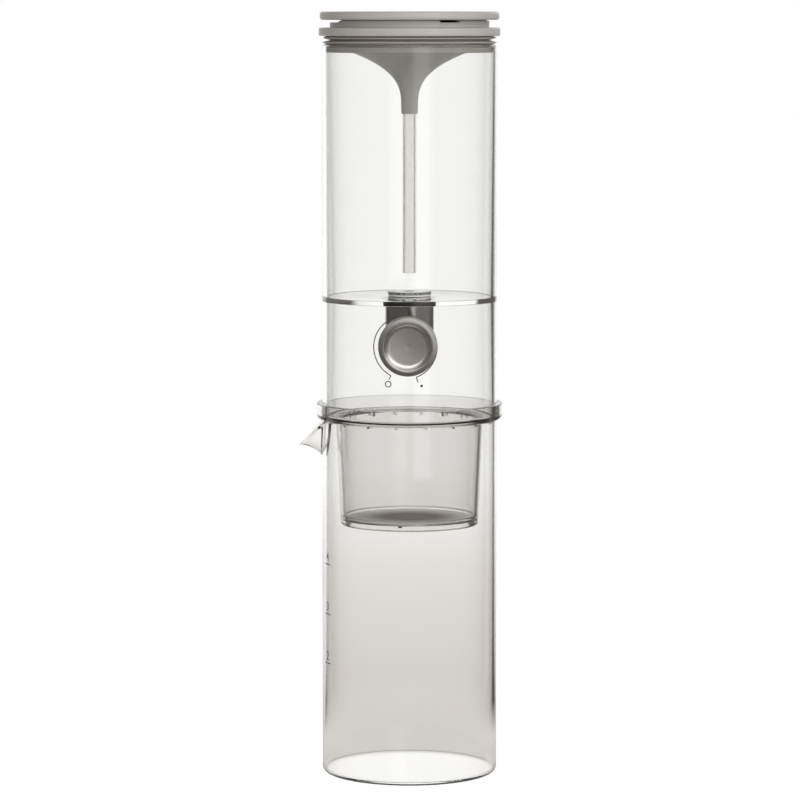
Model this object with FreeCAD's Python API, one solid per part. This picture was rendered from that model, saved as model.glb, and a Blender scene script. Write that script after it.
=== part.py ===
"""Cold drip coffee maker: a glass carafe, a smoke-clear dripper cup, a clear water tank with a
drip valve and its knob, and a vented lid with an air tube.

Millimetres. +Z is up and z = 0 is the table. The vertical axis of the stack is the Z axis.
The knob faces -Y and the carafe's spout points to -X.
"""

import FreeCAD, Part
import math
import os

V = FreeCAD.Vector
UP = V(0, 0, 1)
ORIGIN = V(0, 0, 0)

# ---- clearances ------------------------------------------------------------------------
slip = 0.30            # gap between parts that are lifted apart by hand
running = 0.05         # radial gap of a shaft in its bush
seated = 0.02          # radial gap of a part that is pressed or screwed home
end_gap = 0.1          # left at the bottom of a blind hole
washer_gap = 0.1       # radial gap of a washer round what it seals
lapped = 0.4           # how far one solid runs into another that it is one piece with
past = 1.0             # how far a cutting tool runs past what it cuts

# ---- edges -----------------------------------------------------------------------------
metal_round = 0.4      # turned and machined parts
metal_break = 0.2      # their fine edges
moulded_round = 0.4    # plastic parts, on edges with no radius of their own

# ---- carafe ----------------------------------------------------------------------------
carafe_radius = 43.0
carafe_wall = 1.8
carafe_floor = 2.2
carafe_height = 175.6
carafe_heel = 2.6      # outer corner radius at the base
carafe_inner_heel = 1.4

spout_reach = 12.2     # how far the tip stands out from the wall
spout_edge_drop = 1.1  # where the beak's edge leaves the wall, below the rim
spout_bend_reach = 6.0 # half way along the edge
spout_bend_drop = 7.1
spout_tip_drop = 11.8
spout_tip_depth = 2.5
spout_root_depth = 18.0
spout_lip_depth = 13.6 # underside of the beak behind its lip, below the rim
spout_half_width = 12.0
spout_tip_half_width = 4.2
spout_wall = 1.5

# ---- dripper cup -----------------------------------------------------------------------
flange_thick = 2.3
collar_wall = 2.4
collar_rise = 5.9      # height of the collar above the flange
collar_heel = 2.4
collar_rim_round = 0.8
cup_mouth_round = 0.8
cup_depth = 49.2       # flange's underside to the cup's lower edge
rib_reach = 4.7        # from the cup out to where its ribs meet the carafe
cup_top_radius = carafe_radius - carafe_wall - slip - rib_reach
cup_taper = 2.2
cup_bottom_radius = cup_top_radius - cup_taper
cup_wall = 1.8
cup_ledge = 1.6        # width of the ledge that the mesh is held up against
cup_ledge_thick = 1.2
cup_socket_depth = 0.7
rib_count = 18         # ribs that centre the cup in the carafe
rib_thick = 1.2
rib_drop = 2.3
rib_phase = -8.0       # degrees from the front

# ---- filter ----------------------------------------------------------------------------
mesh_thick = 0.3
ring_height = 2.8
ring_rim_width = 4.4
ring_heel = 1.1
ring_upstand = 1.4     # width of the lip inside the cup's foot
ring_fall = 0.6        # slope of its top, from the lip to the hole
spoke_count = 4
spoke_thick = 1.6
spoke_height = 1.5
spoke_phase = -7.6

# ---- water tank ------------------------------------------------------------------------
tank_radius = carafe_radius
tank_height = 181.3
tank_skirt = 55.9      # lower edge to the floor's underside
tank_floor = 2.4
tank_floor_wall = 2.8        # the wall is thickest at the floor, and has draft both ways
tank_rim_wall = 1.8
tank_foot_wall = 2.2
tank_floor_bore_radius = tank_radius - tank_floor_wall
tank_rim_bore_radius = tank_radius - tank_rim_wall
skirt_rim_bore_radius = tank_radius - tank_foot_wall
tank_floor_fillet = 1.6
skirt_fillet = 0.8           # under the floor
tank_foot_round = 0.4
tank_rim_round = 0.6

# ---- drip valve ------------------------------------------------------------------------
valve_radius = 11.95
valve_above_axis = 17.5
valve_below_axis = 9.9
valve_edge = 0.8
valve_gasket_radius = 12.9
valve_gasket_thick = 0.9
gasket_collar_radius = 8.4   # its collar, which fills the floor's hole round the fitting
inlet_stem_radius = 4.5
inlet_stem_depth = 7.6       # thread below the valve's top
inlet_flange_radius = 10.8
inlet_flange_thick = 1.3
inlet_seal_thick = 0.8
inlet_hole_radius = 2.5
inlet_slot_width = 1.2       # across the flange, for a coin
inlet_slot_depth = 0.5
inlet_seal_inset = 0.4       # seal's edge inside the flange's
outlet_hole_radius = 1.0
plug_radius = 4.95
plug_front = 7.7             # stations along the spindle are distances from the tank's axis
plug_back = -6.0
plug_end_gap = 0.3
feed_groove = (1.0, 2.4)     # plain groove all round the plug, fed from above
feed_groove_depth = 1.4
metering_groove = (-1.2, 1.0)  # beside it, over the outlet, and deeper the further it is turned
metering_depth = 1.3
metering_land = 10.0         # degrees either side of the outlet where the plug is plain
metering_points = 9
o_ring_section = 0.55        # radius of the ring's section
o_ring_stations = (4.6, -4.0)
o_ring_side_gap = 0.1

spindle_radius = 3.0
spindle_cover = 0.7          # metal left in the knob over the spindle's end
spindle_flat = 0.4           # depth of the flat for the grub screw
gland_thread_radius = 5.6
gland_face = 10.4            # flat on the valve that the gland nut tightens on
gland_spot_radius = 7.6
gland_hex_flats = 12.4
gland_hex_thick = 3.4
stop_height = 1.8
stop_lug_inner = 4.9
stop_lug_outer = 6.2
stop_lug_angle = 22.0
stop_tab_angle = 24.0
stop_collar_radius = 4.6
stop_gap = 0.2               # stop collar to the gland nut's face
stop_clearance = 1.0         # degrees left at the closed stop

nozzle_thread_radius = 2.6
nozzle_thread = 3.2
nozzle_head_radius = 4.2
nozzle_head = 2.2
nozzle_tip_radius = 1.5
nozzle_taper = 0.6
nozzle_length = 7.0
nozzle_bore_radius = 0.8

# ---- spindle bush ----------------------------------------------------------------------
bush_radius = 5.4
bush_flange_radius = 8.0
bush_flange_thick = 1.2
bush_gasket_thick = 0.9      # at its thinnest, in front of the wall
bush_nut_radius = 7.6
bush_nut_thick = 2.6
bush_thread_past_nut = 0.5
bush_nut_notches = 12
bush_notch_radius = 0.7
bush_notch_offset = 0.2      # notch's centre outside the nut's edge

# ---- knob ------------------------------------------------------------------------------
knob_radius = 14.3
knob_gap = 0.5               # from the bush's flange
knob_thick = 8.8
knob_edge = 0.5
knob_bevel_drop = 0.3
knob_teeth = 120
knob_tooth_depth = 0.32
knob_hub_radius = 5.8
knob_skirt_wall = 1.9
knob_hollow = 3.6
face_radius = 12.0
face_recess = 3.4            # depth of the seat below the knob's front
face_dish = 2.3              # depth of the dish below the face's own edge
face_edge_drop = 0.25
face_floor_radius = 9.3
face_rim_width = 0.5
face_wall_width = 1.2        # from the dish's wall to its flat floor
face_floor_round = 1.6
face_edge_round = 0.15
grub_radius = 1.45
grub_length = 3.0
grub_socket_radius = 0.8
grub_socket_depth = 1.6
grub_access_gap = 0.3        # hole in the knob's skirt round the screw
grub_station = 2.6           # from the knob's back

# ---- lid -------------------------------------------------------------------------------
lid_ring_radius = tank_rim_bore_radius - slip
lid_ring_below_rim = 4.0
lid_ring_height = 2.7
lid_ring_wall = 1.7
lid_ring_lip = 1.4           # lower edge of the ring below the lid's ceiling
lid_ceiling = 2.0
seal_height = 5.3
seal_groove_depth = 3.9
seal_core = 1.7
seal_lip_bite = 1.4          # how far the lips stand past the tank's bore
seal_root_radius = lid_ring_radius - seal_groove_depth
seal_core_radius = seal_root_radius + seal_core
seal_lip_radius = tank_rim_bore_radius + seal_lip_bite
seal_lip_tip = 0.3
seal_lip_root = 0.4          # height of the core below the lower lip
seal_valley = 2.0            # valley between the lips, below the flange
seal_upper_inset = 0.3       # upper lip's edge inside the lower one's
seal_upper_tip = 1.1         # its under side, below the flange
seal_upper_slope = 1.6       # width of its sloping top
seal_rest_gap = 0.05         # lip above the tank's rim
flange_overhang = 1.3        # past the tank's wall
flange_radius = tank_radius + flange_overhang
lid_flange_thick = 4.1
lid_edge = 0.7
neck_inset = 5.4
neck_radius = flange_radius - neck_inset
neck_wall = 2.5
neck_height = 3.7
cap_inset = 0.5
cap_radius = flange_radius - cap_inset
cap_thick = 4.1
cap_plate = 1.8
cap_skirt_wall = 1.5
cap_skirt_depth = 4.8
vent_height = 1.2
vent_angle = 16.0            # air slot, right of the front
vent_bearing = 31.0
notch_angle = 58.0           # finger notch over the spout
notch_bearing = -90.0

funnel_nose_radius = 4.15
funnel_tip_radius = 4.0
funnel_tip_drop = 30.1       # nose's lower end below the lid ring's lower edge
funnel_straight = 3.9
funnel_flare_inset = 9.45    # trumpet's radius at its flare's height, inside the seal's groove
funnel_flare = seal_root_radius - funnel_flare_inset - funnel_nose_radius
funnel_flare_height = 25.75
funnel_power = 2.8
funnel_flange_width = 1.8
funnel_flange_thick = 1.0
funnel_inner_shift = 1.9
funnel_points = 7
funnel_point_spacing = 0.8   # under 1 draws the points of the curve together at the mouth

tube_radius = 3.3
tube_bore_radius = 2.3
tube_socket = 8.0
tube_floor_gap = 11.1        # tube's lower end above the tank's floor
tube_end_round = 0.3

# ---- levels that follow ----------------------------------------------------------------
flange_top = carafe_height + flange_thick
tank_bottom = flange_top
floor_under = tank_bottom + tank_skirt
floor_top = floor_under + tank_floor
rim = tank_bottom + tank_height
valve_top = floor_under - valve_gasket_thick
axis_height = valve_top - valve_above_axis
valve_bottom = axis_height - valve_below_axis
cup_bottom = carafe_height - cup_depth
ring_bottom = cup_bottom - ring_height

lid_bottom = rim - lid_ring_below_rim
lid_ring_top = lid_bottom + lid_ring_height
flange_under = lid_ring_top + seal_height
lid_flange_top = flange_under + lid_flange_thick
neck_top = lid_flange_top + neck_height
lid_top = neck_top + cap_thick
ceiling = lid_bottom + lid_ring_lip
lid_floor = ceiling + lid_ceiling
nose_bottom = lid_bottom - funnel_tip_drop
nose_straight_top = nose_bottom + funnel_straight

bush_wall_outside = tank_radius + bush_gasket_thick
knob_back = bush_wall_outside + bush_flange_thick + knob_gap
knob_front = knob_back + knob_thick
knob_seat = knob_front - face_recess
spindle_end = knob_seat - spindle_cover


# ---- helpers ---------------------------------------------------------------------------
def rounded_path(corners):
    """Closed wire in the XZ plane through (r, z) or (r, z, round) corners, with tangent arcs."""
    n = len(corners)
    stations = []
    for i, corner in enumerate(corners):
        p = V(corner[0], 0, corner[1])
        radius = corner[2] if len(corner) > 2 else 0
        if radius <= 0:
            stations.append((p, p, p))
            continue
        before, after = corners[i - 1], corners[(i + 1) % n]
        a = (V(before[0], 0, before[1]) - p).normalize()
        b = (V(after[0], 0, after[1]) - p).normalize()
        half = a.getAngle(b) / 2
        back_off = radius / math.tan(half)
        centre = p + (a + b).normalize() * (radius / math.sin(half))
        middle = centre + (p - centre).normalize() * radius
        stations.append((p + a * back_off, middle, p + b * back_off))
    edges = []
    for i, (start, middle, end) in enumerate(stations):
        if (end - start).Length > 1e-6:
            edges.append(Part.Arc(start, middle, end).toShape())
        following = stations[(i + 1) % n][0]
        if (following - end).Length > 1e-6:
            edges.append(Part.LineSegment(end, following).toShape())
    return Part.Wire(edges)


def lathe_wire(wire):
    """Solid of revolution about the Z axis."""
    return Part.makeSolid(Part.Face(wire).revolve(ORIGIN, UP, 360))


def lathe(corners):
    return lathe_wire(rounded_path(corners))


def disc(radius, low, high):
    return Part.makeCylinder(radius, high - low, V(0, 0, low))


def ring(outer, inner, low, high):
    return disc(outer, low, high).cut(disc(inner, low - 1, high + 1))


def sector(outer, inner, low, high, bearing, width):
    """Part of a ring, centred on a bearing: degrees from -Y, growing towards +X."""
    start = bearing - 90 - width / 2
    whole = Part.makeCylinder(outer, high - low, V(0, 0, low), UP, width)
    whole.rotate(ORIGIN, UP, start)
    return whole.cut(disc(inner, low - 1, high + 1))


def spoke(inner, outer, low, high, thick, bearing):
    """Bar that runs outwards from the axis at a bearing from the front."""
    bar = Part.makeBox(outer - inner, thick, high - low, V(inner, -thick / 2, low))
    bar.rotate(ORIGIN, UP, bearing - 90)
    return bar


def torus(radius, section, level):
    return Part.makeTorus(radius, section, V(0, 0, level))


def on_spindle(shape):
    """Turns a piece modelled up the Z axis so that it points out of the front at knob height."""
    shape.rotate(ORIGIN, V(1, 0, 0), 90)
    shape.translate(V(0, 0, axis_height))
    return shape


def smooth(points):
    curve = Part.BSplineCurve()
    curve.interpolate(points)
    return curve.toShape()


def chamfered(shape, size, picks):
    """Chamfers the circular edges whose (radius, level) are in picks."""
    chosen = []
    for edge in shape.Edges:
        if not isinstance(edge.Curve, Part.Circle):
            continue
        for radius, level in picks:
            centre = edge.Curve.Center
            if abs(edge.Curve.Radius - radius) < 1e-3 and abs(centre.z - level) < 1e-3:
                chosen.append(edge)
    return shape.makeChamfer(size, chosen)


# ---- carafe ----------------------------------------------------------------------------
def beak_section(x, half_width, top, bottom):
    """Wire across the spout: a flat top over a parabola."""
    left, right = V(x, -half_width, top), V(x, half_width, top)
    bowl = Part.BezierCurve()
    bowl.setPoles([left, V(x, 0, 2 * bottom - top), right])
    return Part.Wire([bowl.toShape(), Part.LineSegment(right, left).toShape()])


def beak(inset=0.0, rise=0.0, past=0.0):
    """Loft along the spout. inset takes its sides and floor inwards, rise raises its top, and
    past carries it on beyond the tip."""
    rows = (
        # distance out from the wall, half width, floor below the rim
        (-6.0, spout_half_width, spout_root_depth),
        (0.0, spout_half_width * 0.93, spout_root_depth - 0.4),
        (spout_reach * 0.42, spout_half_width * 0.66, spout_lip_depth + 0.9),
        (spout_reach * 0.72, spout_half_width * 0.49, spout_lip_depth),
        (spout_reach + past, spout_tip_half_width, spout_tip_drop + spout_tip_depth),
    )
    wires = [
        beak_section(-carafe_radius - out, half_width - inset, carafe_height + rise,
                     carafe_height - depth + inset)
        for out, half_width, depth in rows
    ]
    return Part.makeLoft(wires, True, False)


def above_beak():
    """Everything over the spout's pouring edge, seen from the side."""
    start = V(-carafe_radius + spout_edge_drop, -carafe_radius, carafe_height - spout_edge_drop)
    bend = V(-carafe_radius - spout_bend_reach, -carafe_radius, carafe_height - spout_bend_drop)
    tip = V(-carafe_radius - spout_reach, -carafe_radius, carafe_height - spout_tip_drop)
    beyond = V(tip.x - 5, tip.y, tip.z)
    corner = V(beyond.x, tip.y, carafe_height + 5)
    back = V(start.x, tip.y, carafe_height + 5)
    edges = [Part.Arc(start, bend, tip).toShape()]
    loop = [tip, beyond, corner, back, start]
    edges += [Part.LineSegment(a, b).toShape() for a, b in zip(loop, loop[1:])]
    return Part.Face(Part.Wire(edges)).extrude(V(0, 2 * carafe_radius, 0))


def make_carafe():
    body = lathe([
        (0, 0),
        (carafe_radius, 0, carafe_heel),
        (carafe_radius, carafe_height),
        (0, carafe_height),
    ])
    bore = carafe_radius - carafe_wall
    hollow = lathe([
        (0, carafe_floor),
        (bore, carafe_floor, carafe_inner_heel),
        (bore, carafe_height + 5),
        (0, carafe_height + 5),
    ])
    glass = body.fuse(beak().cut(above_beak()))
    for tool in (hollow, beak(inset=spout_wall, rise=3.0, past=1.0)):
        glass = glass.cut(tool)
    return glass.removeSplitter()


# ---- dripper ---------------------------------------------------------------------------
def cup_radius_at(level):
    """Outer radius of the tapered cup."""
    share = (level - cup_bottom) / cup_depth
    return cup_bottom_radius + share * (cup_top_radius - cup_bottom_radius)


def make_dripper_cup():
    collar_inner = tank_radius + slip
    collar_outer = collar_inner + collar_wall
    collar_top = flange_top + collar_rise
    ledge_under = cup_bottom + cup_socket_depth
    ledge_top = ledge_under + cup_ledge_thick
    socket = cup_bottom_radius - cup_wall
    bore_low = cup_radius_at(ledge_top) - cup_wall
    cup = lathe([
        (cup_radius_at(carafe_height), carafe_height, moulded_round),
        (collar_outer, carafe_height, collar_heel),
        (collar_outer, collar_top, collar_rim_round),
        (collar_inner, collar_top, collar_rim_round),
        (collar_inner, flange_top),
        (cup_top_radius - cup_wall, flange_top, cup_mouth_round),
        (bore_low, ledge_top),
        (bore_low - cup_ledge, ledge_top),
        (bore_low - cup_ledge, ledge_under),
        (socket, ledge_under),
        (socket, cup_bottom),
        (cup_bottom_radius, cup_bottom),
    ])
    rib_outer = carafe_radius - carafe_wall - slip
    for i in range(rib_count):
        bearing = rib_phase + i * 360 / rib_count
        rib = spoke(cup_top_radius - cup_wall / 2, rib_outer, carafe_height - rib_drop,
                    carafe_height + lapped, rib_thick, bearing)
        cup = cup.fuse(rib)
    return cup.removeSplitter()


def mesh_radius():
    return cup_bottom_radius - cup_wall - slip


def make_filter_mesh():
    top = cup_bottom + cup_socket_depth
    return disc(mesh_radius(), top - mesh_thick, top)


def make_filter_ring():
    """Clip-in ring that holds the mesh up against the cup's ledge, with spokes under the mesh."""
    hole = cup_bottom_radius - ring_rim_width
    mesh_under = cup_bottom + cup_socket_depth - mesh_thick
    body = lathe([
        (hole, ring_bottom, moulded_round),
        (cup_bottom_radius, ring_bottom, ring_heel),
        (cup_bottom_radius, cup_bottom),
        (mesh_radius(), cup_bottom),
        (mesh_radius(), mesh_under),
        (mesh_radius() - ring_upstand, mesh_under),
        (hole, mesh_under - ring_fall),
    ])
    low = mesh_under - spoke_height
    for i in range(spoke_count // 2):
        bar = spoke(-hole - lapped, hole + lapped, low, mesh_under, spoke_thick,
                    spoke_phase + i * 360 / spoke_count)
        body = body.fuse(bar)
    return body.removeSplitter()


# ---- tank ------------------------------------------------------------------------------
def skirt_bore_at(level):
    """Inner radius of the skirt, which has draft both ways from the floor."""
    share = (floor_under - level) / tank_skirt
    return tank_floor_bore_radius + share * (skirt_rim_bore_radius - tank_floor_bore_radius)


def make_water_tank():
    hole = gasket_collar_radius + washer_gap
    tank = lathe([
        (hole, floor_under),
        (tank_floor_bore_radius, floor_under, skirt_fillet),
        (skirt_rim_bore_radius, tank_bottom, tank_foot_round),
        (tank_radius, tank_bottom, tank_foot_round),
        (tank_radius, rim, tank_rim_round),
        (tank_rim_bore_radius, rim, tank_rim_round),
        (tank_floor_bore_radius, floor_top, tank_floor_fillet),
        (hole, floor_top),
    ])
    drill = on_spindle(disc(bush_radius + washer_gap, tank_floor_bore_radius - past,
                            tank_radius + past))
    return tank.cut(drill)


def make_inlet_fitting():
    """Flanged hollow screw that pulls the valve up under the tank's floor."""
    under = floor_top + inlet_seal_thick
    top = under + inlet_flange_thick
    foot = valve_top - inlet_stem_depth
    fitting = lathe([
        (inlet_hole_radius, foot),
        (inlet_stem_radius, foot, metal_round),
        (inlet_stem_radius, under),
        (inlet_flange_radius, under),
        (inlet_flange_radius, top, metal_round),
        (inlet_hole_radius, top, metal_round),
    ])
    slot_end = inlet_flange_radius + past
    slot = Part.makeBox(2 * slot_end, inlet_slot_width, inlet_slot_depth + past,
                        V(-slot_end, -inlet_slot_width / 2, top - inlet_slot_depth))
    return fitting.cut(slot)


def make_inlet_seal():
    return ring(inlet_flange_radius - inlet_seal_inset, inlet_stem_radius + washer_gap,
                floor_top, floor_top + inlet_seal_thick)


def make_valve_gasket():
    """Gasket under the floor, with a collar that fills the floor's hole round the fitting."""
    bore = inlet_stem_radius + washer_gap
    return lathe([
        (bore, valve_top),
        (valve_gasket_radius, valve_top),
        (valve_gasket_radius, floor_under),
        (gasket_collar_radius, floor_under),
        (gasket_collar_radius, floor_top),
        (bore, floor_top),
    ])


def make_valve_body():
    body = chamfered(disc(valve_radius, valve_bottom, valve_top), valve_edge,
                     [(valve_radius, valve_bottom)])
    stem_well = disc(inlet_stem_radius + seated, valve_top - inlet_stem_depth - end_gap,
                     valve_top + past)
    inlet = disc(inlet_hole_radius, axis_height, valve_top)
    outlet = disc(outlet_hole_radius, valve_bottom, axis_height)
    nozzle_well = disc(nozzle_thread_radius + seated, valve_bottom - past,
                       valve_bottom + nozzle_thread + end_gap)
    plug_bore = on_spindle(disc(plug_radius + running, plug_back - plug_end_gap, gland_face))
    gland_well = on_spindle(disc(gland_thread_radius + seated, plug_front + plug_end_gap,
                                 gland_face + past))
    spot = on_spindle(disc(gland_spot_radius, gland_face, valve_radius + past))
    for tool in (stem_well, inlet, outlet, nozzle_well, plug_bore, gland_well, spot):
        body = body.cut(tool)
    return body


def make_drip_nozzle():
    head_low = valve_bottom - nozzle_head
    tip = valve_bottom - nozzle_length
    return lathe([
        (nozzle_bore_radius, tip),
        (nozzle_tip_radius, tip, metal_break),
        (nozzle_tip_radius + nozzle_taper, head_low),
        (nozzle_head_radius, head_low, metal_round),
        (nozzle_head_radius, valve_bottom),
        (nozzle_thread_radius, valve_bottom),
        (nozzle_thread_radius, valve_bottom + nozzle_thread),
        (nozzle_bore_radius, valve_bottom + nozzle_thread),
    ])


# ---- spindle and gland -----------------------------------------------------------------
def metering_tool():
    """Snail-shaped cutter: it leaves the plug plain over the outlet when the valve is closed."""
    low, high = metering_groove
    beyond = plug_radius + past

    def at(turn, radius):
        angle = math.radians(-90 - turn)
        return V(radius * math.cos(angle), radius * math.sin(angle), low)

    first, last = metering_land, 360 - metering_land
    root = []
    for i in range(metering_points):
        share = i / (metering_points - 1)
        root.append(at(first + share * (last - first), plug_radius - share * metering_depth))
    edges = [
        smooth(root),
        Part.LineSegment(root[-1], at(last, beyond)).toShape(),
        Part.Arc(at(last, beyond), at(180, beyond), at(first, beyond)).toShape(),
        Part.LineSegment(at(first, beyond), root[0]).toShape(),
    ]
    return Part.Face(Part.Wire(edges)).extrude(V(0, 0, high - low))


def make_spindle():
    """Plug with its metering groove and seal grooves, and the shaft that carries the knob."""
    plug = chamfered(disc(plug_radius, plug_back, plug_front), metal_round,
                     [(plug_radius, plug_back)])
    shaft = chamfered(disc(spindle_radius, plug_front - lapped, spindle_end), metal_round,
                      [(spindle_radius, spindle_end)])
    spindle = plug.fuse(shaft)
    root = plug_radius + running - 2 * o_ring_section - seated
    half = o_ring_section + o_ring_side_gap
    for station in o_ring_stations:
        spindle = spindle.cut(ring(plug_radius + past, root, station - half, station + half))
    spindle = spindle.cut(ring(plug_radius + past, plug_radius - feed_groove_depth, *feed_groove))
    spindle = spindle.cut(metering_tool())
    flat = Part.makeBox(2 * spindle_radius, spindle_flat + past, knob_thick,
                        V(-spindle_radius, -spindle_radius - past, knob_back))
    return on_spindle(spindle.cut(flat).removeSplitter())


def make_spindle_o_rings():
    middle = plug_radius + running - o_ring_section - seated / 2
    rings = [torus(middle, o_ring_section, station) for station in o_ring_stations]
    return on_spindle(Part.makeCompound(rings))


def make_gland_nut():
    face = gland_face + gland_hex_thick
    corner = gland_hex_flats / 2 / math.cos(math.radians(30))
    points = [
        V(corner * math.cos(math.radians(60 * i)), corner * math.sin(math.radians(60 * i)),
          gland_face)
        for i in range(7)
    ]
    hexagon = Part.Face(Part.makePolygon(points)).extrude(V(0, 0, gland_hex_thick))
    thread = disc(gland_thread_radius, plug_front + plug_end_gap, gland_face + lapped)
    lug = sector(stop_lug_outer, stop_lug_inner, face - lapped, face + stop_height, 0,
                 stop_lug_angle)
    nut = hexagon.fuse(thread).fuse(lug)
    bore = disc(spindle_radius + running, 0, face + past)
    return on_spindle(nut.cut(bore).removeSplitter())


def make_stop_collar():
    """Collar on the spindle whose tab meets the gland nut's lug at both ends of the turn."""
    low = gland_face + gland_hex_thick + stop_gap
    high = low + stop_height
    bearing = (stop_lug_angle + stop_tab_angle) / 2 + stop_clearance
    tab = sector(stop_lug_outer, stop_collar_radius - lapped, low, high, bearing, stop_tab_angle)
    body = ring(stop_collar_radius, spindle_radius + seated, low, high).fuse(tab)
    return on_spindle(body.removeSplitter())


# ---- bush in the tank's wall -----------------------------------------------------------
def wall_solid(radius):
    return disc(radius, tank_bottom, floor_under)


def bush_nut_face():
    """Station where a flat nut meets the curved inside of the skirt."""
    bore = skirt_bore_at(axis_height + bush_nut_radius)
    return math.sqrt(bore ** 2 - bush_nut_radius ** 2) - seated


def make_spindle_bush():
    inner = bush_nut_face() - bush_nut_thick - bush_thread_past_nut
    outer = bush_wall_outside + bush_flange_thick
    return on_spindle(lathe([
        (spindle_radius + running, inner),
        (bush_radius, inner, metal_round),
        (bush_radius, bush_wall_outside),
        (bush_flange_radius, bush_wall_outside),
        (bush_flange_radius, outer, metal_round),
        (spindle_radius + running, outer),
    ]))


def make_bush_gasket():
    saddle = on_spindle(ring(bush_flange_radius, bush_radius + washer_gap,
                             tank_floor_bore_radius, bush_wall_outside))
    return saddle.cut(wall_solid(tank_radius))


def make_bush_nut():
    outer = bush_nut_face()
    nut = ring(bush_nut_radius, bush_radius + seated, outer - bush_nut_thick, outer)
    for i in range(bush_nut_notches):
        notch = disc(bush_notch_radius, outer - bush_nut_thick - past, outer + past)
        notch.translate(V(bush_nut_radius + bush_notch_offset, 0, 0))
        notch.rotate(ORIGIN, UP, 360 / bush_nut_notches * i)
        nut = nut.cut(notch)
    return on_spindle(nut)


# ---- knob ------------------------------------------------------------------------------
def knurled_blank():
    points = []
    for i in range(2 * knob_teeth + 1):
        angle = math.pi * i / knob_teeth
        radius = knob_radius - (knob_tooth_depth if i % 2 else 0)
        points.append(V(radius * math.cos(angle), radius * math.sin(angle), knob_back))
    return Part.Face(Part.makePolygon(points)).extrude(V(0, 0, knob_thick))


def make_knob_body():
    hollow_top = knob_back + knob_hollow
    turned = lathe([
        (spindle_radius + seated, knob_back),
        (knob_hub_radius, knob_back, metal_break),
        (knob_hub_radius, hollow_top),
        (knob_radius - knob_skirt_wall, hollow_top),
        (knob_radius - knob_skirt_wall, knob_back),
        (knob_radius - knob_edge, knob_back),
        (knob_radius, knob_back + knob_edge),
        (knob_radius, knob_front - knob_bevel_drop - knob_edge),
        (knob_radius - knob_edge, knob_front - knob_bevel_drop),
        (face_radius + seated, knob_front, face_edge_round),
        (face_radius + seated, knob_seat),
        (0, knob_seat),
        (0, spindle_end + end_gap),
        (spindle_radius + seated, spindle_end + end_gap),
    ])
    knob = turned.common(knurled_blank())
    hole = Part.makeCylinder(grub_radius + seated, knob_hub_radius, ORIGIN, V(0, -1, 0))
    access = Part.makeCylinder(grub_radius + grub_access_gap, knob_skirt_wall + 2 * past,
                               V(0, -(knob_radius - knob_skirt_wall - past), 0), V(0, -1, 0))
    for tool in (hole, access):
        tool.translate(V(0, 0, knob_back + grub_station))
        knob = knob.cut(tool)
    return on_spindle(knob)


def make_knob_face():
    """Dished disc pressed into the front of the knob."""
    edge = knob_front - face_edge_drop
    floor = edge - face_dish
    return on_spindle(lathe([
        (0, knob_seat),
        (face_radius, knob_seat),
        (face_radius, edge, face_edge_round),
        (face_radius - face_rim_width, edge, face_edge_round),
        (face_floor_radius + face_wall_width, floor, face_floor_round),
        (0, floor),
    ]))


def make_grub_screw():
    start = spindle_radius - spindle_flat + end_gap
    screw = Part.makeCylinder(grub_radius, grub_length, V(0, -start, 0), V(0, -1, 0))
    socket = Part.makeCylinder(grub_socket_radius, grub_socket_depth,
                               V(0, grub_socket_depth - grub_length - start, 0), V(0, -1, 0))
    screw = screw.cut(socket)
    screw.translate(V(0, 0, knob_back + grub_station))
    return on_spindle(screw)


# ---- lid -------------------------------------------------------------------------------
def flare(z_start, radius_start, z_end):
    """Points up the trumpet, from its straight nose to a level."""
    points = []
    for i in range(funnel_points):
        share = i / (funnel_points - 1)
        z = z_start + share ** funnel_point_spacing * (z_end - z_start)
        rise = max(0.0, (z - z_start) / funnel_flare_height)
        points.append(V(radius_start + funnel_flare * rise ** funnel_power, 0, z))
    return points


def funnel_mouth_radius():
    """Outer radius where the trumpet meets the lid's ceiling."""
    return flare(nose_straight_top, funnel_nose_radius, ceiling)[-1].x


def make_funnel():
    """Trumpet that drops into the lid's floor and hangs on its own flange."""
    outer = flare(nose_straight_top, funnel_nose_radius, ceiling)
    inner = flare(nose_straight_top + funnel_inner_shift, tube_bore_radius, lid_floor)
    socket = tube_radius + seated
    socket_top = nose_bottom + tube_socket
    inner = [p for p in inner if p.z > socket_top + tube_bore_radius / 2]
    mouth = funnel_mouth_radius()
    flange_top = lid_floor + funnel_flange_thick
    bore = V(tube_bore_radius, 0, socket_top)
    up = [V(socket, 0, nose_bottom), V(funnel_tip_radius, 0, nose_bottom), outer[0]]
    over = [
        outer[-1],
        V(mouth, 0, lid_floor),
        V(mouth + funnel_flange_width, 0, lid_floor),
        V(mouth + funnel_flange_width, 0, flange_top),
        V(inner[-1].x, 0, flange_top),
        inner[-1],
    ]
    down = [bore, V(socket, 0, socket_top), V(socket, 0, nose_bottom)]
    edges = [smooth(outer), smooth([bore] + inner)]
    for run in (up, over, down):
        edges += [Part.LineSegment(a, b).toShape() for a, b in zip(run, run[1:])]
    return lathe_wire(Part.Wire(Part.__sortEdges__(edges)))


def vents(low, high, outer, inner):
    """Air slot and finger notch through the neck and the cap's skirt."""
    return [
        sector(outer, inner, low, high, vent_bearing, vent_angle),
        sector(outer, inner, low, high, notch_bearing, notch_angle),
    ]


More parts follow.
